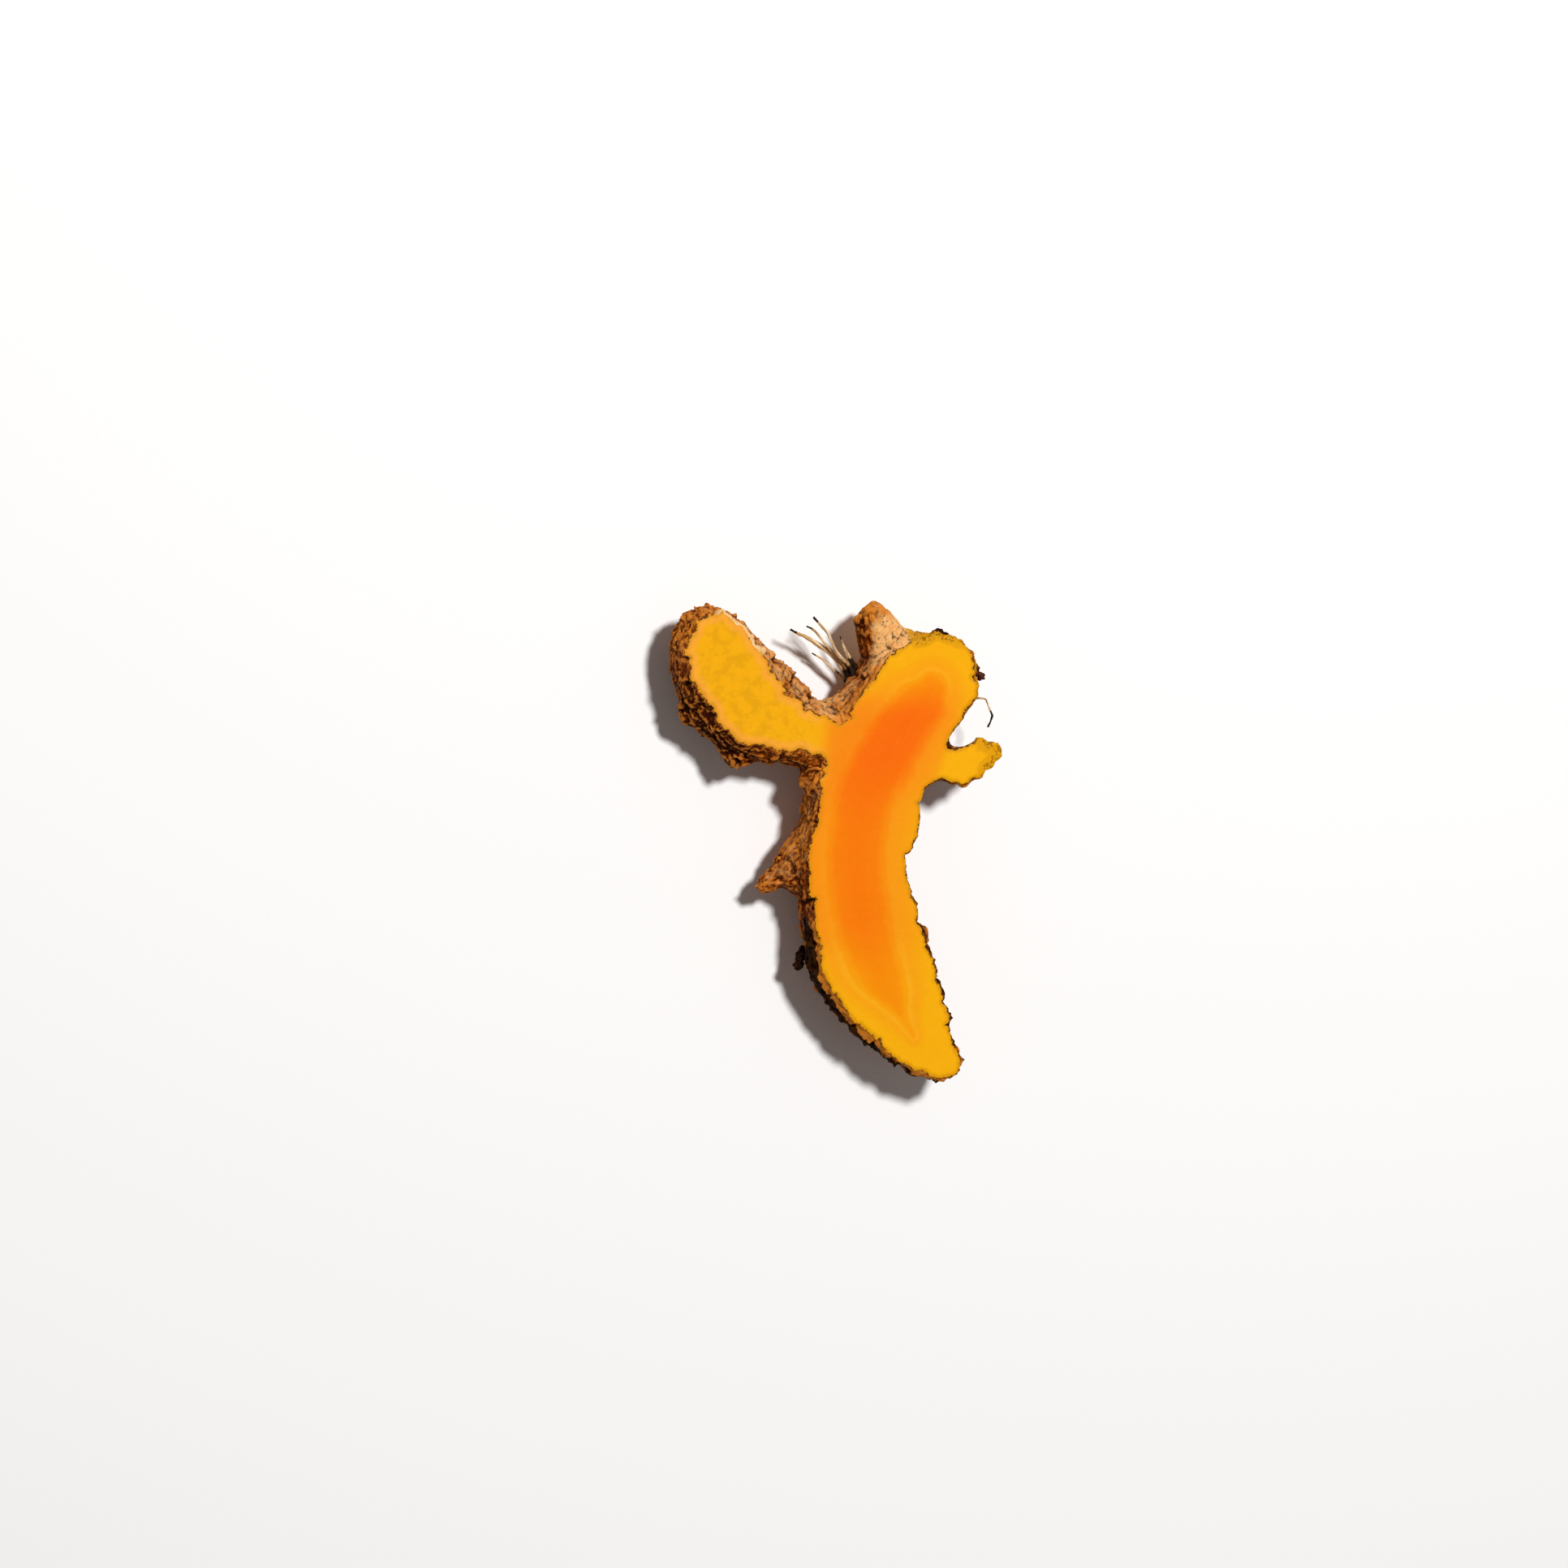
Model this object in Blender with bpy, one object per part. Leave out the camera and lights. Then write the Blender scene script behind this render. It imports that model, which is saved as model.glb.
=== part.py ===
"""One half of a fresh turmeric rhizome, sliced lengthwise and lying on its rounded back.

The rhizome is one grown solid: a curved body, a side finger that leaves it on the left, a
small uncut bud beside the blunt top end, a thorn-like spur, a sliced shoot on the right and
a few skin-covered knobs. Dry rootlets, a withered root stub and two dry scale leaves stand
on the skin as nodes of their own.

The drawing below is in millimetres, with X and Y across the flat cut face and Z up from the
face, so everything below the face has a negative Z. At the end the whole part is moved so
that the origin lies on the resting plane, under the middle of the part's box.
"""

import bmesh
import bpy
from mathutils import Vector
from mathutils.bvhtree import BVHTree

MM = 0.001

CELL = 1.2  # edge length of the rhizome's faces
CURVE_STEPS = 6  # tube sections between two stations
SOFTENING_PASSES = 3
KNIFE_MARGIN = 12.0  # how far the knife block reaches past the part
SKIN_GAP = 0.4  # left between the skin and whatever stands on it
TIP_TAPER = 0.55  # a rootlet's thickness at its tip, as a share of that at its foot

# Stations along each sliced limb: x, y, half the width of its cut face, and how deep its
# belly reaches below the face.
BODY = [
    (20.9, 32.6, 0.4, 2.0),
    (20.3, 31.8, 3.2, 4.6),
    (19.2, 30.5, 5.5, 7.4),
    (17.7, 28.6, 7.1, 10.8),
    (15.9, 25.8, 8.2, 13.2),
    (11.6, 19.8, 8.2, 14.3),
    (8.4, 14.3, 8.4, 13.9),
    (6.4, 8.3, 8.0, 13.5),
    (4.9, 2.3, 8.5, 13.4),
    (3.4, -3.7, 7.8, 13.2),
    (4.4, -8.4, 8.1, 13.4),
    (5.4, -14.4, 8.4, 13.9),
    (6.9, -19.0, 8.9, 14.0),
    (9.4, -23.8, 8.3, 13.0),
    (12.4, -28.6, 7.0, 11.0),
    (15.2, -32.4, 5.6, 8.8),
    (17.9, -35.5, 4.0, 6.2),
    (19.8, -37.7, 2.8, 3.8),
    (20.9, -38.9, 1.0, 1.6),
]
FINGER = [
    (-21.2, 38.2, 1.0, 1.6),
    (-20.9, 37.2, 3.2, 4.0),
    (-20.3, 35.2, 5.2, 7.6),
    (-19.0, 31.6, 6.2, 11.4),
    (-16.9, 27.2, 6.1, 13.2),
    (-13.4, 22.7, 5.9, 14.05),
    (-9.7, 20.1, 5.1, 12.6),
    (-5.8, 18.5, 3.8, 10.2),
    (-2.3, 17.0, 3.0, 8.6),
    (0.2, 15.7, 2.8, 8.7),
    (4.1, 15.0, 2.8, 9.6),
]
SHOOT = [
    (13.0, 11.4, 2.4, 4.3),
    (17.4, 11.7, 2.4, 3.9),
    (20.8, 11.9, 3.4, 4.3),
    (23.7, 12.7, 3.2, 3.8),
    (26.3, 14.0, 2.5, 3.2),
    (28.2, 14.9, 1.0, 1.8),
]

# Limbs that the knife missed: x, y, z and radius along each.
BUD = [
    (13.5, 25.5, -5.4, 4.0),
    (10.2, 29.4, -5.2, 3.8),
    (8.6, 32.6, -4.9, 3.7),
    (7.6, 35.4, -4.6, 3.3),
    (7.2, 37.2, -4.4, 2.4),
    (7.0, 38.1, -4.3, 0.9),
]
SPUR = [
    (1.0, -0.5, -5.2, 5.8),
    (-3.4, -3.4, -5.8, 4.7),
    (-7.2, -5.8, -6.2, 2.8),
    (-10.2, -7.1, -6.3, 1.7),
    (-12.0, -7.6, -6.3, 0.8),
]

# Round swellings of the skin: x, y, z and radius of each.
KNOBS = [
    (20.2, 25.4, -4.5, 5.9),
    (20.6, 28.6, -3.6, 4.5),
    (-2.9, 10.6, -2.8, 2.4),
    (-22.7, 35.6, -3.0, 2.2),
    (-7.6, 26.6, -4.9, 2.4),
    (-5.4, 23.6, -4.8, 2.5),
    (-3.2, 21.1, -4.2, 2.2),
    (1.2, 20.8, -5.0, 2.5),
    (-14.9, 14.6, -5.6, 2.6),
    (-22.3, 21.8, -5.6, 2.5),
]

# Each dry root as the points that it passes through, from its foot on the skin outwards,
# and its radius. The foot is given roughly, and then set on the skin.
ROOTS = {
    "rootlet_long": ([(5.0, 25.2, -7.5), (2.9, 28.2, -7.4), (0.2, 31.0, -7.2), (-5.6, 34.0, -6.9)], 0.34),
    "rootlet_upper": ([(5.6, 26.4, -6.9), (2.6, 29.8, -6.4), (-0.3, 32.8, -6.1), (-3.2, 34.9, -6.0)], 0.28),
    "rootlet_middle": ([(5.9, 27.4, -5.6), (3.6, 29.6, -5.1), (1.2, 32.0, -4.8), (-2.0, 36.3, -4.9)], 0.2),
    "rootlet_dark": ([(6.4, 28.2, -7.3), (4.2, 30.4, -7.0), (3.0, 32.8, -6.6)], 0.26),
    "rootlet_low": ([(5.0, 24.0, -9.5), (1.9, 27.0, -9.3), (-2.0, 29.6, -9.6)], 0.22),
    "rootlet_hair": ([(24.6, 23.2, -1.6), (25.9, 22.8, -1.2), (26.9, 20.6, -1.5), (26.3, 18.4, -2.2)], 0.16),
    "root_stub": ([(-2.6, -18.4, -6.2), (-3.9, -19.7, -6.3), (-4.8, -21.4, -6.5)], 0.65),
}

# Each dry scale leaf: a point on the skin that it covers, and its thickness, length and
# height.
SCALES = {
    "scale_leaf_top": ((18.6, 33.6, -2.0), (0.5, 2.6, 1.6)),
    "scale_leaf_side": ((25.0, 27.0, -2.4), (0.5, 2.4, 1.8)),
}

SKIN_BROWN = (0.34, 0.19, 0.09)
FLESH_ORANGE = (1.0, 0.36, 0.02)
ROOT_STRAW = (0.45, 0.33, 0.2)
DRY_BROWN = (0.06, 0.03, 0.02)


def clear_scene():
    for obj in list(bpy.data.objects):
        bpy.data.objects.remove(obj)


def material(name, colour, roughness):
    made = bpy.data.materials.new(name)
    made.use_nodes = True
    shader = made.node_tree.nodes["Principled BSDF"]
    shader.inputs["Base Color"].default_value = (*colour, 1.0)
    shader.inputs["Roughness"].default_value = roughness
    shader.inputs["Metallic"].default_value = 0.0
    return made


def new_object(name, data, *materials):
    obj = bpy.data.objects.new(name, data)
    bpy.context.scene.collection.objects.link(obj)
    for each in materials:
        data.materials.append(each)
    return obj


def tube(name, points, step):
    """A round tube through points of x, y, z and radius in millimetres, with closed ends.
    The step is the number of sides in a quarter of the way round, less one."""
    curve = bpy.data.curves.new(name, "CURVE")
    curve.dimensions = "3D"
    curve.resolution_u = CURVE_STEPS
    curve.bevel_depth = MM
    curve.bevel_resolution = step
    curve.use_fill_caps = True
    spline = curve.splines.new("BEZIER")
    spline.radius_interpolation = "CARDINAL"
    spline.bezier_points.add(len(points) - 1)
    for knot, (x, y, z, radius) in zip(spline.bezier_points, points):
        knot.co = Vector((x, y, z)) * MM
        knot.radius = radius
        knot.handle_left_type = "AUTO"
        knot.handle_right_type = "AUTO"
    return curve


def sliced(stations):
    """A sliced limb's stations as centre and radius: the round limb whose belly reaches the
    stated depth and whose cut face has the stated half width."""
    rounds = []
    for x, y, half, depth in stations:
        radius = (depth * depth + half * half) / (2 * depth)
        rounds.append((x, y, radius - depth, radius))
    return rounds


def limb_mesh(rounds):
    holder = bpy.data.objects.new("limb", tube("limb", rounds, 8))
    bpy.context.scene.collection.objects.link(holder)
    mesh = bpy.data.meshes.new_from_object(holder)
    bpy.data.objects.remove(holder)
    return mesh


def raw_rhizome():
    """Every limb and knob of the rhizome in one mesh, still overlapping and unsliced."""
    shape = bmesh.new()
    for rounds in (sliced(BODY), sliced(FINGER), sliced(SHOOT), BUD, SPUR):
        shape.from_mesh(limb_mesh(rounds))
    for x, y, z, radius in KNOBS:
        made = bmesh.ops.create_icosphere(shape, subdivisions=3, radius=radius * MM)
        bmesh.ops.translate(shape, verts=made["verts"], vec=Vector((x, y, z)) * MM)
    mesh = bpy.data.meshes.new("rhizome_half")
    shape.to_mesh(mesh)
    shape.free()
    return mesh


def knife_block(around, flesh):
    """The block that the knife takes away: all that lies above the cut face."""
    xs = [corner.co.x for corner in around.vertices]
    ys = [corner.co.y for corner in around.vertices]
    wide = (max(xs) - min(xs)) / 2 + KNIFE_MARGIN * MM
    long = (max(ys) - min(ys)) / 2 + KNIFE_MARGIN * MM
    block = bmesh.new()
    bmesh.ops.create_cube(block, size=2.0)
    bmesh.ops.scale(block, verts=block.verts, vec=(wide, long, KNIFE_MARGIN * MM))
    mesh = bpy.data.meshes.new("knife_block")
    block.to_mesh(mesh)
    block.free()
    knife = new_object("knife_block", mesh, flesh)
    knife.location.x = (max(xs) + min(xs)) / 2
    knife.location.y = (max(ys) + min(ys)) / 2
    knife.location.z = KNIFE_MARGIN * MM
    knife.hide_render = True
    knife.display_type = "WIRE"
    return knife


def grow_rhizome(skin, flesh):
    """The rhizome: its limbs fused into one skin, the joins softened, then sliced flat."""
    mesh = raw_rhizome()
    rhizome = new_object("rhizome_half", mesh, skin, flesh)
    fuse = rhizome.modifiers.new("fuse limbs", "REMESH")
    fuse.mode = "VOXEL"
    fuse.voxel_size = CELL * MM
    fuse.use_smooth_shade = True
    soften = rhizome.modifiers.new("soften joins", "SMOOTH")
    soften.factor = 0.5
    soften.iterations = SOFTENING_PASSES
    slice_off = rhizome.modifiers.new("slice", "BOOLEAN")
    slice_off.operation = "DIFFERENCE"
    slice_off.solver = "EXACT"
    slice_off.material_mode = "TRANSFER"
    slice_off.object = knife_block(mesh, flesh)
    return rhizome


def seat(skin_tree, rough, clearance):
    """The place that stands off the skin by the clearance, nearest to a rough place, and
    the way that the skin faces there."""
    on_skin, outwards, _, _ = skin_tree.find_nearest(Vector(rough) * MM)
    return on_skin + outwards * clearance * MM, outwards


def root(name, route, radius, skin_tree, colour):
    """A dry root as a thin tube along its route, thinner towards the tip."""
    foot, _ = seat(skin_tree, route[0], SKIN_GAP + radius)
    places = [tuple(foot / MM)] + route[1:]
    last = len(places) - 1
    points = []
    for index, place in enumerate(places):
        points.append((*place, radius * (1.0 - (1.0 - TIP_TAPER) * index / last)))
    return new_object(name, tube(name, points, 2), colour)


def scale_leaf(name, rough, size, skin_tree, colour):
    """A dry scale leaf: a thin lens that lies against the skin."""
    leaf = bmesh.new()
    bmesh.ops.create_uvsphere(leaf, u_segments=14, v_segments=8, radius=0.5)
    bmesh.ops.scale(leaf, verts=leaf.verts, vec=Vector(size) * MM)
    mesh = bpy.data.meshes.new(name)
    leaf.to_mesh(mesh)
    leaf.free()
    mesh.shade_smooth()
    made = new_object(name, mesh, colour)
    place, outwards = seat(skin_tree, rough, SKIN_GAP + size[0] / 2)
    made.location = place
    made.rotation_mode = "QUATERNION"
    made.rotation_quaternion = outwards.to_track_quat("X", "Z")
    return made


def box_of(objects):
    """The lowest and highest corner of what these objects show, in world space."""
    graph = bpy.context.evaluated_depsgraph_get()
    corners = []
    for obj in objects:
        shown = obj.evaluated_get(graph)
        mesh = shown.to_mesh()
        corners += [shown.matrix_world @ vertex.co for vertex in mesh.vertices]
        shown.to_mesh_clear()
    low = Vector([min(corner[axis] for corner in corners) for axis in range(3)])
    high = Vector([max(corner[axis] for corner in corners) for axis in range(3)])
    return low, high


def set_down(objects):
    """Moves the whole part so that it stands on Z = 0 with its box centred on the origin."""
    bpy.context.view_layer.update()
    low, high = box_of([obj for obj in objects if not obj.hide_render])
    step = Vector((-(low.x + high.x) / 2, -(low.y + high.y) / 2, -low.z))
    for obj in objects:
        obj.location += step
    bpy.context.view_layer.update()


def main():
    clear_scene()
    skin = material("rhizome skin", SKIN_BROWN, 0.8)
    flesh = material("turmeric flesh", FLESH_ORANGE, 0.4)
    straw = material("dry rootlet", ROOT_STRAW, 0.7)
    dry = material("dry scale", DRY_BROWN, 0.85)
    rhizome = grow_rhizome(skin, flesh)
    graph = bpy.context.evaluated_depsgraph_get()
    skin_tree = BVHTree.FromObject(rhizome, graph)
    for name, (route, radius) in ROOTS.items():
        root(name, route, radius, skin_tree, dry if name == "root_stub" else straw)
    for name, (rough, size) in SCALES.items():
        scale_leaf(name, rough, size, skin_tree, dry)
    set_down(list(bpy.data.objects))


main()
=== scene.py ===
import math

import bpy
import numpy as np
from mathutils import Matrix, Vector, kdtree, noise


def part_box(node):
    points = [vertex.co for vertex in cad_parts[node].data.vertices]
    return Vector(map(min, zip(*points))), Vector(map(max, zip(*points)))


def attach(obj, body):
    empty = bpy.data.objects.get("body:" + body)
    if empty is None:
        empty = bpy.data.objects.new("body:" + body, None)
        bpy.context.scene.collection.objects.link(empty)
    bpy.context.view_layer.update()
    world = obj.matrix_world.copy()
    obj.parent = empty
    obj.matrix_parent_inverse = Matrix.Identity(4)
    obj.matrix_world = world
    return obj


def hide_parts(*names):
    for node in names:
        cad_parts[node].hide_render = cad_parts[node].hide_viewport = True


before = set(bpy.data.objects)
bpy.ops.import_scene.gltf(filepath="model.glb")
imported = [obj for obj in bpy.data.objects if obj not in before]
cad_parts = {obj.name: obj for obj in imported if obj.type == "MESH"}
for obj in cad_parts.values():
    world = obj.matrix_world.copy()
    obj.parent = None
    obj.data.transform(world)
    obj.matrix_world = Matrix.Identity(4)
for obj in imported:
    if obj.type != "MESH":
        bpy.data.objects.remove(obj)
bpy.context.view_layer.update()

# One half of a fresh turmeric rhizome, sliced lengthwise, lying on its rounded back. The
# sliced rhizome comes first, with its skin and its flesh, then the dry rootlets, the
# withered root stub and the scale leaves that stand on it, and last the table, the light
# and the camera. Places are shares of the frame's boxes, or millimetres from its origin.

# ---------------------------------------------------------------------------------------
# The rhizome's growth: a body with a side finger, a sliced shoot, an uncut bud and a
# thorn-like spur. Each grew along a middle line, and its skin carries a leaf scar wherever
# a leaf once stood, so rings, folds and fibres all follow these lines.
# ---------------------------------------------------------------------------------------

MM = 0.001
low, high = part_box("rhizome_half")
size = high - low

# Stations from each limb's free end: shares of the rhizome's box, and the radius.
LIMBS = {
    "body": [
        (0.862, 0.925, 0.90, 4.2),
        (0.808, 0.871, 0.78, 7.7),
        (0.774, 0.836, 0.71, 9.1),
        (0.695, 0.759, 0.66, 9.5),
        (0.635, 0.689, 0.69, 9.5),
        (0.598, 0.612, 0.69, 9.1),
        (0.570, 0.535, 0.72, 9.4),
        (0.543, 0.459, 0.70, 8.9),
        (0.561, 0.399, 0.70, 9.1),
        (0.580, 0.322, 0.69, 9.5),
        (0.607, 0.263, 0.71, 9.8),
        (0.654, 0.202, 0.73, 9.1),
        (0.709, 0.140, 0.77, 7.7),
        (0.761, 0.092, 0.81, 6.2),
        (0.811, 0.052, 0.87, 4.4),
        (0.867, 0.009, 0.96, 1.1),
    ],
    "finger": [
        (0.087, 0.994, 0.96, 1.1),
        (0.103, 0.956, 0.86, 5.6),
        (0.128, 0.910, 0.72, 7.4),
        (0.166, 0.853, 0.63, 8.0),
        (0.231, 0.796, 0.59, 8.3),
        (0.300, 0.763, 0.63, 7.3),
        (0.372, 0.742, 0.69, 5.8),
        (0.437, 0.723, 0.73, 4.8),
        (0.556, 0.698, 0.69, 5.2),
    ],
    "shoot": [
        (1.000, 0.696, 0.97, 1.4),
        (0.967, 0.685, 0.95, 2.6),
        (0.865, 0.658, 0.94, 3.5),
        (0.721, 0.652, 0.90, 2.8),
    ],
    "bud": [
        (0.609, 0.993, 0.70, 0.9),
        (0.620, 0.958, 0.67, 3.3),
        (0.639, 0.922, 0.65, 3.7),
        (0.669, 0.882, 0.63, 3.8),
        (0.730, 0.832, 0.62, 4.0),
    ],
    "spur": [
        (0.257, 0.409, 0.56, 0.8),
        (0.346, 0.432, 0.56, 2.8),
        (0.417, 0.462, 0.59, 4.7),
        (0.498, 0.500, 0.63, 5.8),
    ],
}

# Where each limb's leaf scars are, in millimetres from its free end, and how deep they are.
SCARS = {
    "body": [2.2, 8.3, 14.8, 21.5, 28.3, 36.6, 45.6, 53.0, 59.6, 65.4, 70.2, 74.0],
    "finger": [2.2, 5.6, 9.6, 14.0, 18.6, 23.0, 27.0],
    "shoot": [1.6, 4.2, 8.0],
    "bud": [1.2, 2.8, 5.0, 7.8],
    "spur": [1.4, 3.6, 6.8],
}
SCAR_DEPTH = {"body": 0.8, "finger": 1.0, "shoot": 0.4, "bud": 0.12, "spur": 0.5}

# Lumps and hollows in the skin: shares of the rhizome's box, radius, and how far it stands
# out, in millimetres.
LUMPS = [
    (0.435, 0.639, 0.85, 1.3, 0.6),
    (0.346, 0.869, 0.80, 1.3, 0.7),
    (0.300, 0.905, 0.76, 1.0, 0.4),
    (0.493, 0.767, 0.70, 1.1, 0.5),
    (0.765, 0.313, 0.86, 1.2, 0.8),
    (0.722, 0.365, 0.84, 0.9, 0.45),
    (0.150, 0.800, 0.62, 1.5, 0.5),
    (0.205, 0.745, 0.66, 1.2, 0.5),
    (0.600, 0.985, 0.76, 1.1, 0.4),
    (0.561, 0.958, 0.70, 0.9, 0.6),
    (0.600, 0.900, 0.72, 0.8, 0.35),
    (0.360, 0.440, 0.72, 1.0, 0.3),
    (0.446, 0.270, 0.80, 1.4, 0.4),
    (0.520, 0.180, 0.84, 1.2, 0.4),
    (0.925, 0.708, 0.97, 1.0, 0.6),
    (0.985, 0.690, 0.97, 1.2, -0.5),
    (0.955, 0.645, 0.97, 0.9, -0.8),
    (0.820, 0.624, 0.97, 1.3, -0.8),
    (0.884, 0.620, 0.97, 0.9, 0.7),
    (0.868, 0.067, 0.95, 2.0, -1.1),
    (0.838, 0.090, 0.95, 2.4, -0.9),
]


def in_box(across, along, up):
    """The place at these shares of the rhizome's width, length and height."""
    return Vector((low.x + across * size.x, low.y + along * size.y, low.z + up * size.z))


STEPS_PER_STATION = 4


def growth_line(stations):
    """A smooth line through a limb's stations: its points and the radius at each, in
    millimetres, and how much has grown up to each."""
    marks = np.array([(*(in_box(*place) / MM), radius) for *place, radius in stations])
    ends = np.vstack([2 * marks[0] - marks[1], marks, 2 * marks[-1] - marks[-2]])
    t = np.linspace(0, 1, STEPS_PER_STATION, endpoint=False)[:, None]
    rows = []
    for a, b, c, d in zip(ends, ends[1:], ends[2:], ends[3:]):
        cubic = (3 * b - a - 3 * c + d) * t**3
        square = (2 * a - 5 * b + 4 * c - d) * t**2
        rows.append((cubic + square + (c - a) * t + 2 * b) / 2)
    line = np.vstack(rows + [marks[-1:]])
    steps = np.linalg.norm(np.diff(line[:, :3], axis=0), axis=1)
    return line[:, :3], line[:, 3], np.concatenate([[0], np.cumsum(steps)])


PLACES_AT_ONCE = 8000


def follow(line, places):
    """Where places lie beside a growth line, in millimetres: how far along it, how far to
    its right, how far above it, and how far outside its radius."""
    middle, radius, grown = line
    start = middle[:-1]
    step = np.diff(middle, axis=0)
    found = []
    for part in np.array_split(places, len(places) // PLACES_AT_ONCE + 1):
        reach = ((part[:, None] - start) * step).sum(2) / (step**2).sum(1)
        reach = reach.clip(0, 1)
        offset = part[:, None] - start - reach[..., None] * step
        apart = np.linalg.norm(offset, axis=2)
        row = np.arange(len(part))
        near = apart.argmin(1)
        share = reach[row, near]
        way = step[near] / np.linalg.norm(step[near], axis=1)[:, None]
        right = np.cross(way, (0, 0, 1))
        right /= np.linalg.norm(right, axis=1)[:, None]
        above = np.cross(right, way)
        there = offset[row, near]
        outside = apart[row, near] - radius[near] - share * np.diff(radius)[near]
        along = grown[near] + share * np.diff(grown)[near]
        found.append(np.stack([along, (there * right).sum(1), (there * above).sum(1), outside], 1))
    return np.vstack(found)


def rise(value, start, end):
    """0 up to the start, 1 from the end on, and a smooth rise between."""
    share = ((value - start) / (end - start)).clip(0, 1)
    return share * share * (3 - 2 * share)


def between(value, start, full, fading, end):
    """0 up to the start, 1 from full to fading, and 0 again from the end on."""
    return rise(value, start, full) * rise(-value, -end, -fading)


def hump(value, middle, width):
    """1 at the middle, falling off on both sides."""
    return np.exp(-(((value - middle) / width) ** 2))


# The noise in the skin: how fast its layers fade, how much finer each is than the one
# before, and how many there are. Crests have an offset and a gain too, and a usual height.
FADE, FINER = 0.9, 2.1
CLOUD_LAYERS, VEIN_LAYERS = 3, 4
CREST_OFFSET, CREST_GAIN, CREST_HEIGHT = 1.0, 1.6, 2.2


def cloud(places):
    """Soft noise between about -1 and 1."""
    return np.array([noise.fractal(place, FADE, FINER, CLOUD_LAYERS) for place in places.tolist()])


def veins(places):
    """Noise with sharp crests, from 0 in the hollows to about 1 on the crests."""
    crests = [
        noise.ridged_multi_fractal(place, FADE, FINER, VEIN_LAYERS, CREST_OFFSET, CREST_GAIN)
        for place in places.tolist()
    ]
    return np.array(crests) / CREST_HEIGHT


# The relief of a limb's skin, in millimetres: the lip, groove and torn fringe that a leaf
# scar has, and the folds and fibres that run along the limb. Between two scars it swells
# by a share of the distance between them.
LIP = 0.3
GROOVE = 0.48
FRINGE = 0.3
FOLDS = 0.42
FIBRES = 0.2
SWELL = 0.045
SWELL_BASE = 0.12

# Each limb counts as having one more scar beyond its free end and one past its last.
BEFORE_END = 6.0
PAST_LAST = 7.0


def limb_skin(name, spots):
    """How far a limb's skin stands out at spots beside its line, and how close to a leaf
    scar they are, from 0 to 1."""
    along, right, above, _ = spots.T
    seed = sum(map(ord, name))

    # The scars wander a little on their way round the limb.
    wide = np.column_stack([along * 0.12 + seed, right * 0.22, above * 0.22])
    grown = along + 1.1 * cloud(wide * 1.4) + 0.45 * cloud(wide * 5) + 0.08 * right
    scars = np.array([-BEFORE_END] + SCARS[name] + [SCARS[name][-1] + PAST_LAST])
    after = np.searchsorted(scars, grown).clip(1, len(scars) - 1)
    spacing = scars[after] - scars[after - 1]
    share = (grown - scars[after - 1]) / spacing
    ahead = np.where(share < 0.5, scars[after - 1], scars[after]) - grown

    # They fade out in places and near the middle line, and fibres hang over them.
    stem = rise(np.hypot(right, above), 0.6, 2.4)
    depth = stem * SCAR_DEPTH[name] * (0.55 + 1.3 * cloud(wide * 2.7 + 9)).clip(0.1, 1.25)
    bend = 0.7 * cloud(np.column_stack([along * 0.3 + seed, right * 0.45, above * 0.45]))
    fibres = veins(np.column_stack([along * 0.3 + seed, right * 0.9 + bend, above * 0.9 - bend]))
    fringe = rise(ahead, 0.1, 0.4) * rise(0.5 + 1.9 * fibres - ahead, 0, 0.3)
    ring = LIP * hump(ahead, 0.42, 0.3) - GROOVE * hump(ahead, 0, 0.24) + FRINGE * fringe
    swell = SWELL * spacing * (4 * share * (1 - share)).clip(0, 1) - SWELL_BASE
    folds = FOLDS * cloud(np.column_stack([along * 0.13 + seed, right * 0.5, above * 0.5]))
    return stem * swell + depth * ring + folds + FIBRES * (fibres - 0.5), hump(ahead, 0, 0.42) * depth


growth = {name: growth_line(stations) for name, stations in LIMBS.items()}
BLEND_WIDTH = 0.7


def beside_limbs(places):
    """For each limb, where places lie beside its line and how much it counts there."""
    spots = {name: follow(line, places) for name, line in growth.items()}
    pulls = {name: np.exp(-spots[name][:, 3].clip(-3) / BLEND_WIDTH) for name in spots}
    total = sum(pulls.values())
    return spots, {name: pull / total for name, pull in pulls.items()}


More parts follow.
